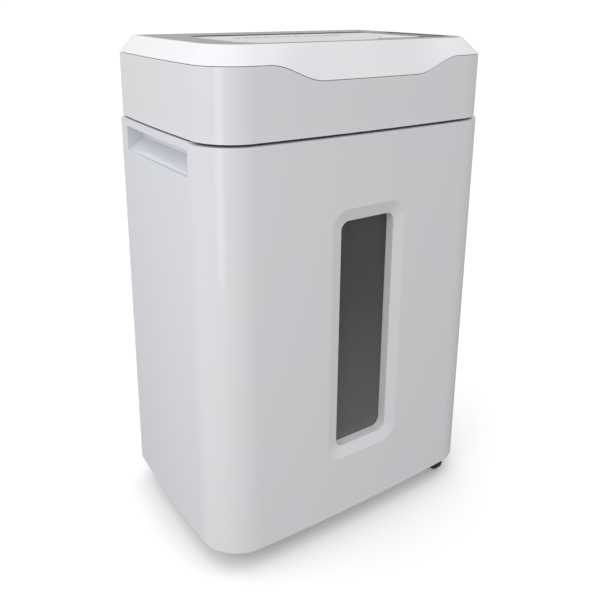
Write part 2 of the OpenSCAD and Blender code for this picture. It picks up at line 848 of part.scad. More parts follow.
// Pan-head screw along Z: the shank above z = 0, the head below it
module pan_screw(r, length) {
    rotate_extrude() polygon([
        [0, -1.8], [1.2 * r, -1.8], [2 * r, -0.8], [2 * r, 0], [r, 0], [r, length], [0, length]
    ]);
}

module head_screws() {
    color("silver")
    for (x = [-1, 1]) for (y = head_screw_y)
        translate([x * head_screw_x, y, head_z0 + 3]) mirror([0, 0, 1]) pan_screw(2, 10);
}

module back_screws() {
    color("silver")
    for (x = [-1, 1]) for (z = back_screw_z)
        translate([x * back_screw_x, body_d / 2 - screw_head, z]) rotate([90, 0, 0]) pan_screw(2, 8);
}

// ---------------------------------------------------------------- casters

fork_top_z = base_z - 2.4;
wheel_w = 12;
axle_r = 2.5;
axle_boss = 4.5;

// Caster fork with its stem at the origin; the wheel trails towards -Y
module fork() {
    arm_x = wheel_w / 2 + 0.8;
    arm_t = 2;
    plate_z = fork_top_z - 2.4;
    union() {
        rod_z(plate_z, socket_top - 4, 0, 0, stem_r);
        rod_z(plate_z, plate_z + 2, 0, 0, 11);
        box([-arm_x - arm_t, -caster_trail + 2, plate_z], [arm_x + arm_t, 4, plate_z + 2]);
        for (x = [-arm_x - arm_t, arm_x])
            translate([x, 0, 0]) rotate([90, 0, 90]) linear_extrude(arm_t) union() {
                polygon([
                    [-caster_trail - axle_boss, wheel_r], [-caster_trail + axle_boss, wheel_r],
                    [4, plate_z + 1], [-caster_trail + 2, plate_z + 1]
                ]);
                translate([-caster_trail, wheel_r]) circle(r = axle_boss);
            }
        rod_x(-arm_x - arm_t - 0.8, arm_x + arm_t + 0.8, -caster_trail, wheel_r, axle_r);
    }
}

hub_r = 4.5;
tyre_r = wheel_r - 4;
module wheel() {
    translate([-wheel_w / 2, -caster_trail, wheel_r]) rotate([0, 90, 0])
        rotate_extrude($fn = 72) polygon(concat(
            [[axle_r + run_gap, 0], [hub_r, 0], [hub_r + 0.6, 1], [tyre_r - 0.6, 1], [tyre_r, 0]],
            [for (i = [0 : 6]) let (a = -90 + 90 * i / 6) [wheel_r - 3 + 3 * cos(a), 3 + 3 * sin(a)]],
            [for (i = [0 : 6]) let (a = 90 * i / 6) [wheel_r - 3 + 3 * cos(a), wheel_w - 3 + 3 * sin(a)]],
            [[tyre_r, wheel_w], [tyre_r - 0.6, wheel_w - 1], [hub_r + 0.6, wheel_w - 1], [hub_r, wheel_w],
                [axle_r + run_gap, wheel_w]]
        ));
}

// Each caster as it was left standing: the front left one trails backwards
headings = [180, 0, 0, 0];
module place(i) {
    translate([stems[i][0], stems[i][1], 0]) rotate(headings[i]) children();
}

module fork_front_left() {
    color("dimgray") place(0) fork();
}

module fork_front_right() {
    color("dimgray") place(1) fork();
}

module fork_rear_left() {
    color("dimgray") place(2) fork();
}

module fork_rear_right() {
    color("dimgray") place(3) fork();
}

module wheel_front_left() {
    color([0.1, 0.1, 0.1]) place(0) wheel();
}

module wheel_front_right() {
    color([0.1, 0.1, 0.1]) place(1) wheel();
}

module wheel_rear_left() {
    color([0.1, 0.1, 0.1]) place(2) wheel();
}

module wheel_rear_right() {
    color([0.1, 0.1, 0.1]) place(3) wheel();
}

side_panel_left();
side_panel_right();
back_panel();
base_pan();
top_deck();
bin_rail_left();
bin_rail_right();
bin_sensor();
head_shell();
head_base();
top_bezel();
top_plate();
label_panel();
control_wedge();
display_panel();
feed_throat();
cutter_frame_left();
cutter_frame_right();
tie_rods();
shaft_bushes();
comb_front();
comb_rear();
gear_pins();
gearbox_cover();
motor_can();
motor_stator();
circuit_board();
board_parts();
run_capacitor();
power_inlet();
switch_housing();
head_screws();
back_screws();
caster_sockets();
bin_front_panel();
bin_tub();
window_pane();
window_retainer();
retainer_screws();
bin_magnet();
cutter_front();
cutter_rear();
idler_slow();
idler_fast();
motor_rotor();
motor_fan();
mains_rocker();
fork_front_left();
fork_front_right();
fork_rear_left();
fork_rear_right();
wheel_front_left();
wheel_front_right();
wheel_rear_left();
wheel_rear_right();
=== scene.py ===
import json
import math

import bmesh
import bpy
import numpy as np
from mathutils import Matrix, Vector


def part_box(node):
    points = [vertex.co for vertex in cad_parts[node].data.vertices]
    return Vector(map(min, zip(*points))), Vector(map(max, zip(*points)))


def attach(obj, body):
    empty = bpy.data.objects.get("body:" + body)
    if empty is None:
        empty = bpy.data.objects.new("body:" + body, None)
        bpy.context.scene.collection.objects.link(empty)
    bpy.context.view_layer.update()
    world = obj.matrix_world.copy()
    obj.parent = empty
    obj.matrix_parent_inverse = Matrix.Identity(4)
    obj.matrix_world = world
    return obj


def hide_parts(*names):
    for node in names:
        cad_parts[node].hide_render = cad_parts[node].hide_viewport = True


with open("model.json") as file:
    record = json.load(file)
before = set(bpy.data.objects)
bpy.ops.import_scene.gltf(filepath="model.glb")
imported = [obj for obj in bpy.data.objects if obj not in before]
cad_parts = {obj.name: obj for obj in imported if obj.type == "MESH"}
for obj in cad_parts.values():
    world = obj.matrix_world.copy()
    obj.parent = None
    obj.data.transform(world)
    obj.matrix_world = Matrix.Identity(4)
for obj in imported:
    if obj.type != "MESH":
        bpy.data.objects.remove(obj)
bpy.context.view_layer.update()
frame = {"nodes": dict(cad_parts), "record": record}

MM = 0.001


# ---- View and light ------------------------------------------------------------------
# The machine is seen from its front left, a little from above. A tall strip lamp and a large
# soft box stand at its left, so that side runs brightest, and a pale sky fills the rest.
scene = bpy.context.scene
scene.view_settings.view_transform = "Standard"


def add_object(name, data):
    obj = bpy.data.objects.new(name, data)
    scene.collection.objects.link(obj)
    return obj


def add_camera(place, yaw, pitch, roll, lens, shift):
    """Camera looking along +Y, turned by yaw towards +X and down by pitch; angles in degrees."""
    camera = add_object("camera", bpy.data.cameras.new("camera"))
    camera.data.sensor_width = 36
    camera.data.lens = lens
    camera.data.shift_y = shift
    camera.data.clip_start = 0.01
    turn = Matrix.Rotation(math.radians(-yaw), 4, "Z") @ Matrix.Rotation(math.radians(90 - pitch), 4, "X")
    tilt = Matrix.Rotation(math.radians(-roll), 4, "Z")
    camera.matrix_world = Matrix.Translation(place) @ turn @ tilt
    scene.camera = camera


add_camera(
    place=(-0.4734, -0.6679, 0.6064),
    yaw=34.69,
    pitch=16.20,
    roll=-0.49,
    lens=42.846,
    shift=-0.1583,
)


def add_lamp(name, place, aim, size, power):
    """Rectangular area lamp of the given width and height, turned to face aim."""
    data = bpy.data.lights.new(name, "AREA")
    data.shape = "RECTANGLE"
    data.size, data.size_y = size
    data.energy = power
    lamp = add_object(name, data)
    lamp.visible_camera = False
    lamp.location = place
    lamp.rotation_euler = (Vector(aim) - Vector(place)).to_track_quat("-Z", "Y").to_euler()


add_lamp("strip_left", place=(-0.78, -0.44, 0.42), aim=(-0.17, -0.1, 0.32), size=(0.24, 0.8), power=1.0)
add_lamp("box_left", place=(-1.9, 0.2, 0.9), aim=(0, 0, 0.3), size=(1.4, 1.2), power=2.0)


class Value:
    """One socket of a node tree. Sums and products of values add Math nodes."""

    def __init__(self, owner, socket):
        self.owner = owner
        self.socket = socket

    def math(self, operation, other):
        node = self.owner.node("ShaderNodeMath", {"operation": operation}, {0: self, 1: other})
        return Value(self.owner, node.outputs[0])

    def __add__(self, other):
        return self.math("ADD", other)

    def __radd__(self, other):
        return self.math("ADD", other)

    def __sub__(self, other):
        return self.math("SUBTRACT", other)

    def __rsub__(self, other):
        return (self * -1).math("ADD", other)

    def __mul__(self, other):
        return self.math("MULTIPLY", other)

    def __rmul__(self, other):
        return self.math("MULTIPLY", other)

    def step(self, low, high):
        """0 below low, 1 above high, smooth between."""
        node = self.owner.node(
            "ShaderNodeMapRange", {"interpolation_type": "SMOOTHSTEP"},
            {"Value": self, "From Min": low, "From Max": high})
        return Value(self.owner, node.outputs[0])


class Tree:
    """A node tree whose nodes come from their type, their settings and their sockets' values."""

    def __init__(self, tree):
        self.tree = tree

    def node(self, kind, settings=None, inputs=None):
        node = self.tree.nodes.new(kind)
        for key, value in (settings or {}).items():
            setattr(node, key, value)
        for key, value in (inputs or {}).items():
            self.feed(node.inputs[key], value)
        return node

    def feed(self, socket, value):
        if isinstance(value, Value):
            self.tree.links.new(value.socket, socket)
        elif isinstance(value, bpy.types.NodeSocket):
            self.tree.links.new(value, socket)
        elif isinstance(value, (int, float)) or len(value) == len(socket.default_value):
            socket.default_value = value
        else:
            socket.default_value = (*value, 1)


def add_sky(level, slope):
    """Light from all round whose strength grows along slope: upwards and towards the left."""
    world = bpy.data.worlds.new("studio")
    world.use_nodes = True
    sky = Tree(world.node_tree)
    place = sky.node("ShaderNodeTexCoord").outputs["Generated"]
    along = sky.node("ShaderNodeVectorMath", {"operation": "DOT_PRODUCT"}, {0: place, 1: slope})
    background = world.node_tree.nodes["Background"]
    sky.feed(background.inputs["Color"], (1, 1, 1))
    sky.feed(background.inputs["Strength"], Value(sky, along.outputs["Value"]) + level)
    scene.world = world


add_sky(level=0.72, slope=(-0.14, 0.0, 0.56))


# ---- Base tray and caster sockets ------------------------------------------------------------
# The base is a grey moulded tray that stiffens the foot of the cabinet. A plain socket is
# moulded for each caster stem and pressed up into the tray from below.
body_of = {n: b for b, members in frame["record"]["behaviour"]["bodies"].items() for n in members}


class Finish(Tree):
    """One material: its Principled shader and the patterns that the finishes share."""

    def __init__(self, name, **constants):
        self.material = bpy.data.materials.new(name)
        self.material.use_nodes = True
        super().__init__(self.material.node_tree)
        self.shader = self.tree.nodes["Principled BSDF"]
        self.place = self.node("ShaderNodeTexCoord").outputs["Object"]
        for socket, value in constants.items():
            self.shader.inputs[socket.replace("_", " ")].default_value = value

    def noise(self, scale, detail=3, stretch=(1, 1, 1), rough=0.5):
        """Noise at scale features per metre, from 0 to 1."""
        spot = self.node("ShaderNodeMapping", None, {"Vector": self.place, "Scale": stretch})
        node = self.node(
            "ShaderNodeTexNoise", None,
            {"Vector": spot.outputs[0], "Scale": scale, "Detail": detail, "Roughness": rough})
        return Value(self, node.outputs["Fac"])

    def axis(self, index):
        node = self.node("ShaderNodeSeparateXYZ", None, {0: self.place})
        return Value(self, node.outputs[index])

    def mix(self, amount, first, second):
        node = self.node("ShaderNodeMix", {"data_type": "RGBA"}, {0: amount, 6: first, 7: second})
        return node.outputs[2]

    def colour(self, socket):
        self.feed(self.shader.inputs["Base Color"], socket)

    def roughness(self, value):
        self.feed(self.shader.inputs["Roughness"], value)

    def bump(self, height, strength, distance=0.0005):
        node = self.node(
            "ShaderNodeBump", None, {"Strength": strength, "Distance": distance, "Height": height})
        self.feed(self.shader.inputs["Normal"], node.outputs[0])


def moulded_matte(name, base, rough=0.55, grain=1400):
    """Spark-eroded matte plastic: fine leather-like grain and slightly polished, darker high spots."""
    finish = Finish(name, IOR=1.47)
    texture = finish.noise(grain, 3)
    wear = finish.noise(22, 4).step(0.52, 0.8)
    pale, deep = [c * 1.06 for c in base], [c * 0.8 for c in base]
    finish.colour(finish.mix(texture * 0.4 + wear * 0.25, pale, deep))
    finish.roughness(rough + texture * 0.1 - wear * 0.14)
    finish.bump(texture, 0.22, 0.0004)
    return finish.material


def apply_modifiers(obj):
    graph = bpy.context.evaluated_depsgraph_get()
    mesh = bpy.data.meshes.new_from_object(obj.evaluated_get(graph), depsgraph=graph)
    obj.modifiers.clear()
    obj.data = mesh
    return obj


def soften(obj, width, segments=3, angle=30, sharp=30):
    """Rounds the edges that a mould would round, then shades everything flatter than sharp as one skin."""
    if width:
        bevel = obj.modifiers.new("edges", "BEVEL")
        bevel.width = width
        bevel.segments = segments
        bevel.limit_method = "ANGLE"
        bevel.angle_limit = math.radians(angle)
        bevel.use_clamp_overlap = True
        apply_modifiers(obj)
    shape = bmesh.new()
    shape.from_mesh(obj.data)
    for edge in shape.edges:
        edge.smooth = len(edge.link_faces) == 2 and edge.calc_face_angle(0) < math.radians(sharp)
    for face in shape.faces:
        face.smooth = True
    shape.to_mesh(obj.data)
    shape.free()
    normals = obj.modifiers.new("normals", "WEIGHTED_NORMAL")
    normals.keep_sharp = True
    normals.weight = 100
    return apply_modifiers(obj)


def dress(obj, material, node):
    """Gives a piece its material and body, and lets it stand for a CAD node."""
    obj.data.materials.clear()
    obj.data.materials.append(material)
    for polygon in obj.data.polygons:
        polygon.material_index = 0
    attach(obj, body_of[node])
    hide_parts(node)
    return obj


def refine(node, name, material, width=0.4 * MM, segments=2, sharp=35):
    """Stands for a CAD node with the same shape, its loose triangles joined and its edges rounded."""
    obj = add_object(name, frame["nodes"][node].data.copy())
    shape = bmesh.new()
    shape.from_mesh(obj.data)
    bmesh.ops.remove_doubles(shape, verts=shape.verts, dist=1e-6)
    bmesh.ops.join_triangles(
        shape, faces=shape.faces, angle_face_threshold=1e-3, angle_shape_threshold=3.2)
    shape.to_mesh(obj.data)
    shape.free()
    if "custom_normal" in obj.data.attributes:
        obj.data.attributes.remove(obj.data.attributes["custom_normal"])
    soften(obj, width, segments, 32, sharp)
    return dress(obj, material, node)


mid_grey = moulded_matte("mid_grey", (0.30, 0.31, 0.32))
refine("base_pan", "base_tray", mid_grey, 0.5 * MM)
refine("caster_sockets", "sockets", mid_grey, 0.3 * MM)


# ---- Casters ------------------------------------------------------------------
# Each fork is pressed from zinc-plated steel and riveted to its stem and axle. The wheel is a
# grey hub with a black polyurethane tyre moulded on it, scuffed by the floor.
def drawn_steel(name, base, rough=0.32, along=(0.03, 1, 1), plated=0.0):
    """Steel with the lines of drawing or grinding along one axis, and a blotchy zinc spangle if plated."""
    finish = Finish(name, Metallic=1.0)
    lines = finish.noise(2600, 3, along)
    blotch = finish.noise(60, 4)
    stain = finish.noise(14, 5).step(0.58, 0.82)
    finish.colour(finish.mix(
        lines * 0.35 + blotch * (0.2 + plated) + stain * 0.3,
        [min(c * 1.15, 1) for c in base], [c * 0.62 for c in base]))
    finish.roughness(rough + lines * 0.12 + stain * 0.18)
    finish.bump(lines, 0.12, 0.0002)
    return finish.material


def tyre():
    finish = Finish("tyre", IOR=1.45)
    grit = finish.noise(1800, 4)
    scuff = finish.noise(160, 5).step(0.45, 0.8)
    finish.colour(finish.mix(scuff * 0.5 + grit * 0.2, (0.012, 0.012, 0.013), (0.06, 0.058, 0.055)))
    finish.roughness(0.42 + scuff * 0.3)
    finish.bump(grit + scuff, 0.3, 0.0003)
    return finish.material


zinc = drawn_steel("zinc", (0.66, 0.67, 0.68), 0.34, (0.03, 1, 1), 0.25)
tyre_black = tyre()
HUB_SHARE = 0.6
for corner in ("front_left", "front_right", "rear_left", "rear_right"):
    refine("fork_" + corner, "caster_fork_" + corner, zinc, 0.3 * MM)
    wheel = refine("wheel_" + corner, "caster_wheel_" + corner, tyre_black, 0.2 * MM)
    low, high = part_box("wheel_" + corner)
    centre = (low + high) / 2
    hub_r = HUB_SHARE * (high.z - low.z) / 2
    wheel.data.materials.append(mid_grey)
    for polygon in wheel.data.polygons:
        reach = math.hypot(polygon.center.y - centre.y, polygon.center.z - centre.z)
        polygon.material_index = 1 if reach < hub_r else 0


# ---- Side panels ------------------------------------------------------------------
# Glossy white moulded walls behind the bin front. Under the head each has a long handle pocket
# with a ramped floor; flanges inside take the base tray and the back wall's screws.
def moulded_gloss(name, base, rough=0.2, tint=(0.97, 0.98, 1.0)):
    """Injection-moulded ABS with a polished skin: faint sink, orange peel, smears, dust low down."""
    finish = Finish(name, Coat_Weight=0.25, Coat_Roughness=0.06, IOR=1.5)
    cloud = finish.noise(7, 2)
    smear = finish.noise(30, 4, (1, 1, 0.35)).step(0.5, 0.78)
    scratch = finish.noise(2600, 2, (1, 1, 0.03)).step(0.66, 0.76)
    dust = (1 - finish.axis(2).step(0.02, 0.16)) * finish.noise(420, 5).step(0.42, 0.9)
    light = finish.mix(cloud, [c * 0.985 for c in base], [b * t for b, t in zip(base, tint)])
    finish.colour(finish.mix(dust * 0.12 + scratch * 0.02, light, (0.5, 0.48, 0.45)))
    finish.roughness(rough + smear * 0.05 + dust * 0.06 + scratch * 0.04)
    finish.bump(finish.noise(420, 2) * 0.6 + cloud * 0.6, 0.06, 0.0006)
    return finish.material


# Painted shade: the side walls get a cooler, slightly greyer copy of the front's white plastic, standing
# in for the shade on the sides.
side_white_painted_shade = moulded_gloss("side_white_painted_shade", (0.725, 0.735, 0.775), 0.16)
refine("side_panel_left", "side_wall_left", side_white_painted_shade, 0.8 * MM, 3, 14)
refine("side_panel_right", "side_wall_right", side_white_painted_shade, 0.8 * MM, 3, 14)


# ---- Back wall and deck ------------------------------------------------------------------
# The back is one flat matte white moulding, screwed to the side walls. The deck closes the top
# of the cabinet under the head, with a wide opening that the shreds drop through.
back_white = moulded_matte("back_white", (0.74, 0.74, 0.755), 0.42, 1100)
refine("back_panel", "back_wall", back_white, 0.6 * MM)
refine("top_deck", "deck_plate", mid_grey, 0.4 * MM)


# ---- Bin rails and bin sensor ----------------------------------------------------------------
# Two runners bent from plated sheet steel stand on the base tray. The bin's floor slides on them
# and their uprights guide its sides. A reed sensor in a black case sits on the back wall.
black_matte = moulded_matte("black_matte", (0.022, 0.022, 0.024), 0.42)
refine("bin_rail_left", "rail_left", zinc, 0.2 * MM)
refine("bin_rail_right", "rail_right", zinc, 0.2 * MM)
refine("bin_sensor", "sensor_case", black_matte, 0.3 * MM)


# ---- Bin tub, window frame and magnet --------------------------------------------------------
# The tub is a deep grey moulding that slides on the runners and catches the shreds, with a
# ferrite magnet glued inside its rear wall. A grey frame clamps the window pane from behind.
bin_grey = moulded_matte("bin_grey", (0.42, 0.43, 0.44), 0.45)
ferrite = moulded_matte("ferrite", (0.05, 0.05, 0.052), 0.6)
refine("bin_tub", "tub", bin_grey, 0.5 * MM)
refine("window_retainer", "retainer_frame", mid_grey, 0.3 * MM)
refine("bin_magnet", "magnet", ferrite, 0.3 * MM)


# ---- Bin front panel ------------------------------------------------------------------
# One glossy white moulding that wraps both front corners, with a stiffening return along its top
# and four posts behind that meet the tub. It carries the tall window: a shallow sloped border,
# then a straight reveal down to the pane.
PANEL_LOW, PANEL_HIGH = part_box("bin_front_panel")
PANE_LOW, PANE_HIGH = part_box("window_pane")
HALF_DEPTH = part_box("back_panel")[1].y
HALF_WIDTH = 185 * MM
CORNER_R = 44 * MM
FRONT_BOW = 5.7 * MM
SIDE_BOW = 4.5 * MM
BOW_Y = -22 * MM
WALL = 3 * MM
RETURN_W = 14 * MM
REBATE = 5 * MM
BLOCK_RIM = 18 * MM
BORDER = 14 * MM
BORDER_DEEP = 4 * MM
POST_R = 6 * MM
POST_X = (-90 * MM, 90 * MM)
POST_Z = (110 * MM, 390 * MM)
POST_Y = -95.05 * MM
WINDOW_Z = (PANE_LOW.z + PANE_HIGH.z) / 2
OPEN_W = PANE_HIGH.x * 2 - 2 * REBATE
OPEN_H = PANE_HIGH.z - PANE_LOW.z - 2 * REBATE
seam_y = PANEL_HIGH.y
front_y = -HALF_DEPTH


def bowed(x, y):
    """Pulls a point of the straight plan in towards the crowned wall."""
    side = SIDE_BOW * ((y - BOW_Y) / (HALF_DEPTH - BOW_Y)) ** 2 * x / HALF_WIDTH
    front = FRONT_BOW * (x / HALF_WIDTH) ** 2 * (HALF_DEPTH - y) / (2 * HALF_DEPTH)
    return (x - side, y + front)


def wrap(inset, y_end, lean=0.0, sides=24, arcs=20, fronts=96):
    """Open line from the rear of the right side, round the front, to the rear of the left side."""
    hx = HALF_WIDTH - inset - lean
    fy = inset + lean - HALF_DEPTH
    r = CORNER_R - inset - lean / 4
    line = [(hx, y_end + (fy + r - y_end) * i / sides) for i in range(sides + 1)]
    for i in range(1, arcs + 1):
        a = math.pi / 2 * i / arcs
        line.append((hx - r + r * math.cos(a), fy + r - r * math.sin(a)))
    line += [((hx - r) * (1 - 2 * i / fronts), fy) for i in range(1, fronts)]
    mirrored = [(-x, y) for x, y in reversed(line[: sides + arcs + 1])]
    return [bowed(x, y) for x, y in line + mirrored]


def mesh_object(name, points, faces):
    mesh = bpy.data.meshes.new(name)
    mesh.from_pydata([tuple(p) for p in points], [], faces)
    mesh.validate()
    shape = bmesh.new()
    shape.from_mesh(mesh)
    bmesh.ops.recalc_face_normals(shape, faces=shape.faces)
    shape.to_mesh(mesh)
    shape.free()
    return add_object(name, mesh)


def strip(name, outer, inner, levels):
    """Wall between two lines of equal length, through every level; its ends are closed."""
    n = len(outer)
    rows = len(levels)
    points = [(x, y, z) for line in (outer, inner) for z in levels for x, y in line]
    side = n * rows
    faces = []
    for r in range(rows - 1):
        for i in range(n - 1):
            a = r * n + i
            faces.append([a, a + 1, a + 1 + n, a + n])
            faces.append([side + a + n, side + a + n + 1, side + a + 1, side + a])
        for i in (0, n - 1):
            a = r * n + i
            faces.append([a, a + n, side + a + n, side + a])
    for r in (0, rows - 1):
        for i in range(n - 1):
            a = r * n + i
            faces.append([a, a + 1, side + a + 1, side + a])
    return mesh_object(name, points, faces)


def rounded_rectangle(w, h, r, steps=10):
    line = []
    for quarter, (sx, sy) in enumerate(((1, 1), (-1, 1), (-1, -1), (1, -1))):
        for i in range(steps + 1):
            a = math.pi / 2 * (quarter + i / steps)
            line.append((sx * (w / 2 - r) + r * math.cos(a), sy * (h / 2 - r) + r * math.sin(a)))
    return line


def loft(name, rings):
    """Closed solid through rings of equal length, capped at both ends."""
    n = len(rings[0])
    points = [p for ring in rings for p in ring]
    faces = []
    for k in range(len(rings) - 1):
        for i in range(n):
            j = (i + 1) % n
            faces.append([k * n + i, k * n + j, (k + 1) * n + j, (k + 1) * n + i])
    last = (len(rings) - 1) * n
    faces += [list(range(n)), list(range(last, last + n))]
    return mesh_object(name, points, faces)


def window_ring(w, h, r, y):
    return [(x, y, WINDOW_Z + v) for x, v in rounded_rectangle(w, h, r)]


def cut(obj, *cutters, operation="DIFFERENCE"):
    for cutter in cutters:
        modifier = obj.modifiers.new("cut", "BOOLEAN")
        modifier.operation = operation
        modifier.solver = "EXACT"
        modifier.object = cutter
    apply_modifiers(obj)
    for cutter in cutters:
        bpy.data.objects.remove(cutter)
    return obj


def bin_panel():
    levels = np.linspace(PANEL_LOW.z, PANEL_HIGH.z, 13)
    panel = strip("bin_panel", wrap(0, seam_y), wrap(WALL, seam_y), levels)
    back = seam_y - 1 * MM
    top_return = strip(
        "return", wrap(1 * MM, back), wrap(RETURN_W, back),
        [PANEL_HIGH.z - WALL, PANEL_HIGH.z - 0.05 * MM])
    block_w, block_h = OPEN_W + 2 * BLOCK_RIM, OPEN_H + 2 * BLOCK_RIM
    block = loft("block", [
        window_ring(block_w, block_h, 24 * MM, y) for y in (front_y + 2 * MM, PANE_LOW.y - 0.05 * MM)])
    posts = []
    for x in POST_X:
        for z in POST_Z:
            ring = [(x + POST_R * math.cos(a), z + POST_R * math.sin(a))
                    for a in np.linspace(0, 2 * math.pi, 24, endpoint=False)]
            posts.append(loft("post", [[(u, y, v) for u, v in ring] for y in (front_y + 2 * MM, POST_Y)]))
    cut(panel, top_return, block, *posts, operation="UNION")
    border_w, border_h = OPEN_W + 2 * BORDER, OPEN_H + 2 * BORDER
    border = loft("border", [
        window_ring(border_w, border_h, 20 * MM, front_y - 2 * MM),
        window_ring(border_w, border_h, 20 * MM, front_y + 0.2 * MM),
        window_ring(OPEN_W, OPEN_H, 10 * MM, front_y + BORDER_DEEP)])
    reveal = loft("reveal", [
        window_ring(OPEN_W, OPEN_H, 10 * MM, y) for y in (front_y - 3 * MM, PANE_LOW.y + 2 * MM)])
    cut(panel, border, reveal)
    return soften(panel, 0.7 * MM, 3, 12, 12)


gloss_white = moulded_gloss("gloss_white", (0.745, 0.745, 0.76), 0.22)
dress(bin_panel(), gloss_white, "bin_front_panel")


# ---- Window pane ------------------------------------------------------------------
# Smoked acrylic sheet, pressed against the back of the reveal. It is not quite flat, so the
# reflection of the room bends along it.
def tinted_acrylic():
    finish = Finish("tinted_acrylic", IOR=1.49, Coat_Weight=0.5, Coat_Roughness=0.02)
    haze = finish.noise(9, 4)
    # Painted reflection: low rises towards the pane's foot and turns the smoky tint paler there; the dust
    # specks keep to the same lower part.
    low = 1 - finish.axis(2).step(0.1, 0.36)
    dust = finish.noise(700, 4).step(0.4, 0.85) * low
    smoke_with_painted_reflection = finish.mix(low, (0.05, 0.05, 0.053), (0.125, 0.125, 0.128))
    finish.colour(finish.mix(haze * 0.25 + dust * 0.2, smoke_with_painted_reflection, (0.17, 0.172, 0.175)))
    finish.roughness(0.05 + dust * 0.12 + haze * 0.03)
    finish.feed(finish.shader.inputs["Alpha"], 0.84 + dust * 0.1)
    finish.bump(finish.noise(6, 2), 0.2, 0.02)
    return finish.material


def pane():
    """Closed sheet, rows of vertices from foot to head, bellied by a few tenths of a millimetre."""
    low, high = PANE_LOW, PANE_HIGH
    half_w, half_h = (high.x - low.x) / 2, (high.z - low.z) / 2
    skin = 0.02 * MM
    across, up = 12, 48
    grid = []
    for back in (0, 1):
        for k in range(up + 1):
            for i in range(across + 1):
                u, v = 2 * i / across - 1, 2 * k / up - 1
                belly = 0.5 * MM * (1 - u * u) * (1 - v * v)
                y = high.y - skin if back else low.y + skin + belly
                grid.append((half_w * u, y, WINDOW_Z + half_h * v))
    row, sheet = across + 1, (across + 1) * (up + 1)
    faces = []
    for k in range(up):
        for i in range(across):
            a = k * row + i
            faces.append([a, a + 1, a + 1 + row, a + row])
            faces.append([sheet + a + row, sheet + a + row + 1, sheet + a + 1, sheet + a])
    edge = list(range(row)) + [row * k + across for k in range(1, up + 1)]
    edge += [row * up + i for i in range(across - 1, -1, -1)] + [row * k for k in range(up - 1, 0, -1)]
    for a, b in zip(edge, edge[1:] + edge[:1]):
        faces.append([a, b, sheet + b, sheet + a])
    return soften(mesh_object("pane", grid, faces), 0, sharp=40)


dress(pane(), tinted_acrylic(), "window_pane")


# ---- Head pan, throat and cutter frame -------------------------------------------------------
# A grey pan closes the head from below and carries a frame of two plated steel plates, held
# apart by tie rods. Black combs strip the discs, and a black throat leads the sheets in.
refine("head_base", "head_pan", mid_grey, 0.4 * MM)
refine("feed_throat", "throat", black_matte, 0.3 * MM)
refine("cutter_frame_left", "frame_plate_left", zinc, 0.2 * MM)
refine("cutter_frame_right", "frame_plate_right", zinc, 0.2 * MM)
refine("tie_rods", "rods", zinc, 0.3 * MM)
refine("comb_front", "stripper_front", black_matte, 0.1 * MM)
refine("comb_rear", "stripper_rear", black_matte, 0.1 * MM)


# ---- Cutters and gears ------------------------------------------------------------------
# Hardened discs on ground shafts in bronze bushes, and sintered gears on plated pins. The edges
# are only broken, as a deburring wheel leaves them, and the flanks keep their lines of hobbing.
hard_steel = drawn_steel("hard_steel", (0.42, 0.42, 0.43), 0.26, (1, 0.05, 0.05))
gear_steel = drawn_steel("gear_steel", (0.5, 0.48, 0.46), 0.36, (1, 0.3, 0.3))
bronze = drawn_steel("bronze", (0.6, 0.4, 0.2), 0.4)
refine("cutter_front", "cutter_roll_front", hard_steel, 0)
refine("cutter_rear", "cutter_roll_rear", hard_steel, 0)
refine("idler_slow", "slow_gear", gear_steel, 0)
refine("idler_fast", "fast_gear", gear_steel, 0)
refine("shaft_bushes", "bushes", bronze, 0.15 * MM)
refine("gear_pins", "pins", zinc, 0.3 * MM)
refine("gearbox_cover", "gear_cover", mid_grey, 0.4 * MM)


# ---- Motor ------------------------------------------------------------------
# A pressed steel can round a ring of laminations, with a ground rotor that carries the pinion
# at one end and a nylon fan at the other. The run capacitor sits in a white case beside it.
nylon = moulded_matte("nylon", (0.74, 0.72, 0.66), 0.4)
capacitor_white = moulded_matte("capacitor_white", (0.7, 0.7, 0.69), 0.35)
refine("motor_can", "motor_shell", zinc, 0.6 * MM)
refine("motor_stator", "stator_ring", hard_steel, 0.3 * MM)
refine("motor_rotor", "rotor", hard_steel, 0.15 * MM)
refine("motor_fan", "fan", nylon, 0.2 * MM)
refine("run_capacitor", "capacitor_case", capacitor_white, 0.8 * MM)


# ---- Circuit board, inlet and mains switch ---------------------------------------------------
# A green laminate board with its relays and transformer. At the rear, a black appliance inlet
# and a black switch case with a glossy red rocker snap into the head's wall.
board_green = moulded_matte("board_green", (0.02, 0.16, 0.07), 0.35)
board_black = moulded_matte("board_black", (0.03, 0.035, 0.04), 0.4)
rocker_red = moulded_gloss("rocker_red", (0.42, 0.015, 0.015), 0.2, (1, 1, 1))
refine("circuit_board", "board", board_green, 0.1 * MM)
refine("board_parts", "board_blocks", board_black, 0.3 * MM)
refine("power_inlet", "inlet_body", black_matte, 0.3 * MM)
refine("switch_housing", "switch_case", black_matte, 0.3 * MM)
refine("mains_rocker", "rocker_key", rocker_red, 0.4 * MM)


# ---- Head shell ------------------------------------------------------------------
# The head's side wall is one glossy moulding, a little smaller than the cabinet. Its top edge
# dips in the middle of the front, and its rear has the vents, the inlet and the switch openings.
BEZEL_LOW, BEZEL_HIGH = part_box("top_bezel")
HEAD_STEP = 2.6 * MM
DIP_FLAT = 60 * MM
DIP_END = 122 * MM
DIP_H = 17 * MM
DIP_BACK = -80 * MM
REAR_Z = 508 * MM
INLET_X = -145 * MM
INLET_HALF = (15 * MM, 12 * MM)
SWITCH_X = -96 * MM
SWITCH_HALF = (10 * MM, 10 * MM)
VENT_COUNT = 14
VENT_X = 20 * MM
VENT_PITCH = 8 * MM
VENT_W = 3 * MM
VENT_Z = (496 * MM, 524 * MM)
bezel_z = BEZEL_LOW.z + DIP_H
top_z = BEZEL_HIGH.z


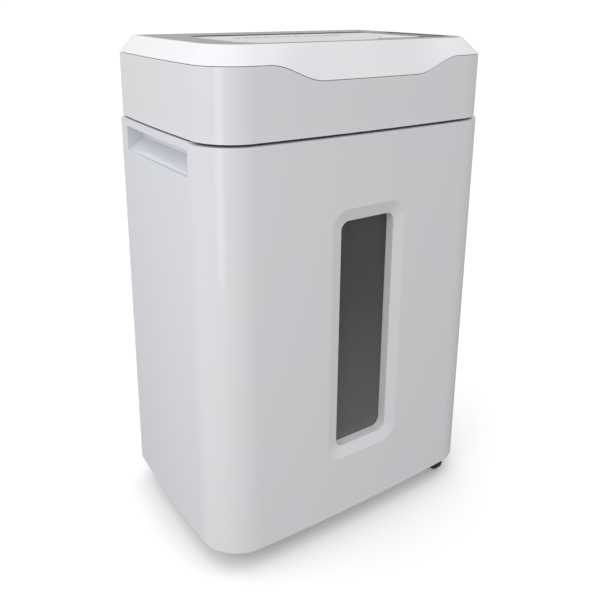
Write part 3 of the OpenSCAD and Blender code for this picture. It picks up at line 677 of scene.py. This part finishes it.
def dip(x):
    t = min(max((abs(x) - DIP_FLAT) / (DIP_END - DIP_FLAT), 0), 1)
    return BEZEL_LOW.z + DIP_H * (1 - math.cos(math.pi * t)) / 2


def edge_z(point):
    """Level of the joint between wall and bezel: it dips along the front only."""
    return dip(point[0]) if point[1] < DIP_BACK else bezel_z


def closed_wall(name, sections):
    """Solid round the whole machine whose cross-section at station i is sections[i]."""
    n, k = len(sections), len(sections[0])
    points = [p for section in sections for p in section]
    faces = []
    for i in range(n):
        for j in range(k):
            a, b = i * k + j, i * k + (j + 1) % k
            c, d = ((i + 1) % n) * k + j, ((i + 1) % n) * k + (j + 1) % k
            faces.append([a, b, d, c])
    return mesh_object(name, points, faces)


def prism(name, outline, z0, z1):
    n = len(outline)
    points = [(x, y, z0) for x, y in outline] + [(x, y, z1) for x, y in outline]
    faces = [[i, (i + 1) % n, (i + 1) % n + n, i + n] for i in range(n)]
    faces += [list(range(n)), list(range(n, 2 * n))]
    return mesh_object(name, points, faces)


def rear_opening(x0, x1, z0, z1):
    y0, y1 = HALF_DEPTH - 8 * MM, HALF_DEPTH + 5 * MM
    return prism("opening", [(x0, y0), (x1, y0), (x1, y1), (x0, y1)], z0, z1)


def head_wall():
    outer = wrap(HEAD_STEP, HALF_DEPTH)
    inner = wrap(HEAD_STEP + WALL, HALF_DEPTH - WALL)
    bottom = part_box("head_shell")[0].z
    shoulder = bottom + 30 * MM
    sections = []
    for (ox, oy), (ix, iy) in zip(outer, inner):
        top = edge_z((ox, oy)) - 0.5 * MM
        sections.append([
            (ox, oy, bottom), (ox, oy, shoulder), (ox, oy, top),
            (ix, iy, top), (ix, iy, shoulder), (ix, iy, bottom)])
    wall = closed_wall("head_wall", sections)
    openings = []
    for x, (half_w, half_h) in ((INLET_X, INLET_HALF), (SWITCH_X, SWITCH_HALF)):
        openings.append(rear_opening(x - half_w, x + half_w, REAR_Z - half_h, REAR_Z + half_h))
    for i in range(VENT_COUNT):
        x = VENT_X + VENT_PITCH * i
        openings.append(rear_opening(x, x + VENT_W, *VENT_Z))
    cut(wall, *openings)
    return soften(wall, 0.6 * MM, 3, 30, 20)


dress(head_wall(), gloss_white, "head_shell")


# ---- Bezel ------------------------------------------------------------------
# A glossy white ring that caps the head. Its ruled chamfer follows the dip of the wall below,
# and its flat rim holds the silver plate.
LEAN = 16 * MM
RIM = 1.5 * MM
PLATE_T = 4 * MM


def bezel():
    rear = HALF_DEPTH
    lines = [
        wrap(HEAD_STEP, rear), wrap(HEAD_STEP, rear, LEAN), wrap(HEAD_STEP + RIM, rear - WALL, LEAN),
        wrap(HEAD_STEP + 4 * MM, rear - WALL)]
    sections = []
    for low, top, rim, inside in zip(*lines):
        z = edge_z(low)
        ruled = [(low[0] + (top[0] - low[0]) * t, low[1] + (top[1] - low[1]) * t, z + (top_z - z) * t)
                 for t in (0, 0.33, 0.66, 1)]
        sections.append(ruled + [(*rim, top_z), (*rim, top_z - PLATE_T), (*inside, z)])
    return soften(closed_wall("bezel", sections), 0.9 * MM, 4, 24, 22)


# Painted light: the bezel gets a paler copy of the white plastic of the front and head, standing in for
# the light on its upward faces.
bezel_white_painted_light = moulded_gloss("bezel_white_painted_light", (0.82, 0.82, 0.835), 0.14)
dress(bezel(), bezel_white_painted_light, "top_bezel")


# ---- Top plate, label, control wedge and touch panel ------------------------------------------
# A satin silver plate fills the bezel. A paler printed film, a white wedge and a dark glossy
# touch panel are let into it in front of the paper slot.
def silver_paint():
    finish = Finish("silver_paint", Metallic=0.55)
    flake = finish.noise(3800, 2)
    brushed = finish.noise(1500, 3, (0.04, 1, 1))
    finish.colour(finish.mix(flake * 0.5 + brushed * 0.3, (0.33, 0.33, 0.34), (0.22, 0.22, 0.23)))
    finish.roughness(0.34 + brushed * 0.12)
    finish.bump(flake + brushed, 0.05, 0.0002)
    return finish.material


def printed_film():
    finish = Finish("printed_film", Coat_Weight=0.1, Coat_Roughness=0.15)
    grain = finish.noise(2600, 2)
    smear = finish.noise(18, 4)
    finish.colour(finish.mix(grain * 0.3 + smear * 0.3, (0.63, 0.63, 0.64), (0.54, 0.54, 0.55)))
    finish.roughness(0.3 + smear * 0.14)
    finish.bump(grain, 0.04, 0.0002)
    return finish.material


def black_glass():
    finish = Finish("black_glass", IOR=1.2)
    print_mark = finish.noise(26, 5).step(0.5, 0.72)
    finish.colour(finish.mix(print_mark, (0.012, 0.012, 0.014), (0.03, 0.03, 0.033)))
    finish.roughness(0.1 + print_mark * 0.16)
    finish.bump(finish.noise(150, 2), 0.02, 0.0003)
    return finish.material


refine("top_plate", "silver_plate", silver_paint(), 0.25 * MM)
film = refine("label_panel", "label_film", printed_film(), 0)
# The wedge shares the bezel's paler white, a painted light on its upward face.
refine("control_wedge", "white_wedge", bezel_white_painted_light, 0.12 * MM, 1)
touch = refine("display_panel", "touch_panel", black_glass(), 0.4 * MM, 3)


# ---- Printed marks ------------------------------------------------------------------
# Small plain marks are printed along the label film and on the touch panel. They carry no
# words. The surface under them lies a hair lower, so the ink ends flush with the CAD height.
INK = 0.06 * MM
MARK_W = 7 * MM
MARK_PITCH = 13 * MM
KEY_W = 11 * MM
KEY_PITCH = 19 * MM
FILM_LOW, FILM_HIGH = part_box("label_panel")
TOUCH_LOW, TOUCH_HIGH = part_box("display_panel")


def lower_top(obj):
    top = max(v.co.z for v in obj.data.vertices)
    for v in obj.data.vertices:
        if v.co.z > top - 0.01 * MM:
            v.co.z -= INK


def frame_mark(name, w, h, r, line):
    """Flat ring-shaped mark; line is the width of its stroke."""
    outer = rounded_rectangle(w, h, r, 5)
    inner = rounded_rectangle(w - 2 * line, h - 2 * line, max(r - line, 0.05 * MM), 5)
    n = len(outer)
    points = [(x, y, z) for z in (0, INK * 0.9) for ring in (outer, inner) for x, y in ring]
    faces = []
    for i in range(n):
        j = (i + 1) % n
        faces += [[i, j, n + j, n + i], [2 * n + i, 3 * n + i, 3 * n + j, 2 * n + j]]
        faces += [[i, 2 * n + i, 2 * n + j, j], [n + i, n + j, 3 * n + j, 3 * n + i]]
    return mesh_object(name, points, faces)


def spread_tree():
    """Geometry Nodes: one shape at every vertex, turned by the vertex's own angles and a seeded spin."""
    tree = bpy.data.node_groups.new("spread", "GeometryNodeTree")
    face = tree.interface
    face.new_socket("Geometry", in_out="INPUT", socket_type="NodeSocketGeometry")
    face.new_socket("Shape", in_out="INPUT", socket_type="NodeSocketObject")
    face.new_socket("Finish", in_out="INPUT", socket_type="NodeSocketMaterial")
    face.new_socket("Spin", in_out="INPUT", socket_type="NodeSocketFloat")
    face.new_socket("Seed", in_out="INPUT", socket_type="NodeSocketInt")
    face.new_socket("Geometry", in_out="OUTPUT", socket_type="NodeSocketGeometry")

    def node(kind, **settings):
        made = tree.nodes.new(kind)
        for key, value in settings.items():
            setattr(made, key, value)
        return made

    given, result = node("NodeGroupInput"), node("NodeGroupOutput")
    shape = node("GeometryNodeObjectInfo", transform_space="ORIGINAL")
    turn = node("GeometryNodeInputNamedAttribute", data_type="FLOAT_VECTOR")
    turn.inputs["Name"].default_value = "turn"
    lean = node("FunctionNodeEulerToRotation")
    chance = node("FunctionNodeRandomValue", data_type="FLOAT")
    chance.inputs[2].default_value = 0
    chance.inputs[3].default_value = 1
    amount = node("ShaderNodeMath", operation="MULTIPLY")
    about = node("ShaderNodeCombineXYZ")
    spin = node("FunctionNodeEulerToRotation")
    both = node("FunctionNodeRotateRotation", rotation_space="LOCAL")
    place = node("GeometryNodeInstanceOnPoints")
    real = node("GeometryNodeRealizeInstances")
    paint = node("GeometryNodeSetMaterial")
    for start, end in (
        (given.outputs["Shape"], shape.inputs["Object"]),
        (turn.outputs["Attribute"], lean.inputs[0]),
        (given.outputs["Seed"], chance.inputs["Seed"]),
        (chance.outputs[1], amount.inputs[0]),
        (given.outputs["Spin"], amount.inputs[1]),
        (amount.outputs[0], about.inputs["Z"]),
        (about.outputs[0], spin.inputs[0]),
        (lean.outputs[0], both.inputs["Rotation"]),
        (spin.outputs[0], both.inputs["Rotate By"]),
        (given.outputs["Geometry"], place.inputs["Points"]),
        (shape.outputs["Geometry"], place.inputs["Instance"]),
        (both.outputs[0], place.inputs["Rotation"]),
        (place.outputs[0], real.inputs[0]),
        (real.outputs[0], paint.inputs["Geometry"]),
        (given.outputs["Finish"], paint.inputs["Material"]),
        (paint.outputs[0], result.inputs[0]),
    ):
        tree.links.new(start, end)
    return tree


SPREAD = spread_tree()


def spread(name, shape, places, material, body, slot, *nodes, turn=(0, 0, 0), spin=0.0, seed=1):
    """One mesh with a copy of shape at each place; shape itself is used up."""
    obj = mesh_object(name, places, [])
    angles = obj.data.attributes.new("turn", "FLOAT_VECTOR", "POINT")
    angles.data.foreach_set("vector", [a for _ in places for a in turn])
    modifier = obj.modifiers.new("spread", "NODES")
    modifier.node_group = SPREAD
    values = {"Shape": shape, "Finish": material, "Spin": spin, "Seed": seed}
    for socket in SPREAD.interface.items_tree:
        if socket.in_out == "INPUT" and socket.name in values:
            modifier[socket.identifier] = values[socket.name]
    apply_modifiers(obj)
    bpy.data.objects.remove(shape)
    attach(obj, body)
    if nodes:
        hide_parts(*nodes)
    return obj


lower_top(film)
lower_top(touch)
ink_z = FILM_HIGH.z - INK
ink = moulded_matte("print_ink", (0.045, 0.045, 0.05), 0.5, 3000)
rear = FILM_HIGH.y - 30 * MM
row = [FILM_LOW.x + 34 * MM + MARK_PITCH * i for i in range(11)]
spread("marks_square", frame_mark("mark", MARK_W, MARK_W, 1.2 * MM, 0.7 * MM),
       [(x, rear, ink_z) for x in row[0::2]], ink, "cabinet", "label_grey")
spread("marks_round", frame_mark("mark", MARK_W, MARK_W, MARK_W / 2, 0.8 * MM),
       [(x, rear, ink_z) for x in row[1::2]], ink, "cabinet", "label_grey")
spread("marks_bar", frame_mark("mark", 5 * MM, 1.3 * MM, 0.3 * MM, 0.6 * MM),
       [(x + d, rear - 8 * MM, ink_z) for x in row for d in (-2 * MM, 3 * MM)],
       ink, "cabinet", "label_grey")
lit = moulded_matte("panel_print", (0.34, 0.35, 0.37), 0.4, 2000)
middle = (TOUCH_LOW.x + TOUCH_HIGH.x) / 2
keys = [TOUCH_LOW.y + 16 * MM + KEY_PITCH * i for i in range(4)]
spread("key_rings", frame_mark("mark", KEY_W, KEY_W, KEY_W / 2, 0.6 * MM),
       [(middle, y, ink_z) for y in keys], lit, "cabinet", "display_dark")
spread("key_bars", frame_mark("mark", 4 * MM, 1 * MM, 0.2 * MM, 0.45 * MM),
       [(middle, y, ink_z) for y in keys], lit, "cabinet", "display_dark", spin=3.1, seed=4)


# ---- Screws ------------------------------------------------------------------
# Zinc pan heads with a cross recess, each stopped at its own angle by the driver. Four hold the
# back wall, four the head pan, and six the window frame.
def screw(radius, length, head_h=1.8 * MM):
    """Shank along +Z from the seat at zero, head below the seat, cross cut into the head."""
    profile = [
        (1.2 * radius, -head_h), (1.7 * radius, -0.8 * head_h), (2 * radius, -0.4 * head_h),
        (2 * radius, 0), (radius, 0), (radius, length - radius * 0.5), (radius * 0.6, length)]
    around = np.linspace(0, 2 * math.pi, 32, endpoint=False)
    body = loft("screw", [[(r * math.cos(a), r * math.sin(a), z) for a in around] for r, z in profile])
    bars = []
    for w, d in ((1.1 * radius, 0.25 * radius), (0.25 * radius, 1.1 * radius)):
        corners = [(-w, -d), (w, -d), (w, d), (-w, d)]
        bars.append(prism("bar", corners, -head_h - 0.2 * MM, -head_h * 0.35))
    cut(body, *bars)
    return soften(body, 0.05 * MM, 1, 30, 30)


def corners_of(node, edge):
    """Centres of the outermost screws of a node, whose heads reach edge past them."""
    low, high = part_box(node)
    return low + Vector(edge), high - Vector(edge)


bright_zinc = drawn_steel("bright_zinc", (0.72, 0.72, 0.7), 0.28, (1, 1, 1), 0.2)
low, high = corners_of("back_screws", (4 * MM, 0, 4 * MM))
spread("back_wall_screws", screw(2 * MM, 8 * MM),
       [(x, high.y - 1.8 * MM, z) for x in (low.x, high.x) for z in (low.z, high.z)],
       bright_zinc, "cabinet", "zinc_steel", "back_screws", turn=(math.pi / 2, 0, 0), spin=6.2, seed=3)
low, high = corners_of("head_screws", (4 * MM, 4 * MM, 0))
spread("head_pan_screws", screw(2 * MM, 10 * MM),
       [(x, y, high.z - 1.8 * MM) for x in (low.x, high.x) for y in (low.y, high.y)],
       bright_zinc, "cabinet", "zinc_steel", "head_screws", turn=(math.pi, 0, 0), spin=6.2, seed=8)
low, high = corners_of("retainer_screws", (3 * MM, 0, 3 * MM))
spread("window_frame_screws", screw(1.5 * MM, 11 * MM, 1.4 * MM),
       [(x, high.y - 1.5 * MM, z) for x in (low.x, high.x)
        for z in (low.z, (low.z + high.z) / 2, high.z)],
       bright_zinc, "bin", "zinc_steel", "retainer_screws", turn=(math.pi / 2, 0, 0), spin=6.2, seed=5)


# ---- Floor ------------------------------------------------------------------
# A seamless white sweep that curves up behind the machine, square to the camera. It shows and
# takes shadows, but throws no light back, so the undersides stay darker than the tops.
SWEEP_FRONT = -9
SWEEP_BACK = 6
SWEEP_SIDE = 12
SWEEP_R = 3
SWEEP_TURN = -34.7


def white_sweep():
    finish = Finish("sweep_paper", Roughness=0.85, Emission_Color=(1, 1, 1, 1), Emission_Strength=0.1)
    finish.colour(finish.mix(finish.noise(3, 2), (0.93, 0.93, 0.935), (0.95, 0.95, 0.955)))
    turn = Matrix.Rotation(math.radians(SWEEP_TURN), 4, "Z")
    profile = [(SWEEP_FRONT, 0), (SWEEP_BACK, 0)]
    for a in np.linspace(0.1, math.pi / 2, 12):
        profile.append((SWEEP_BACK + SWEEP_R * math.sin(a), SWEEP_R * (1 - math.cos(a))))
    points = [turn @ Vector((x, y, z)) for y, z in profile for x in (-SWEEP_SIDE, SWEEP_SIDE)]
    faces = [[2 * i, 2 * i + 1, 2 * i + 3, 2 * i + 2] for i in range(len(profile) - 1)]
    sweep = mesh_object("sweep", points, faces)
    for polygon in sweep.data.polygons:
        polygon.use_smooth = True
    sweep.data.materials.append(finish.material)
    sweep.visible_diffuse = False
    sweep.visible_glossy = False


white_sweep()
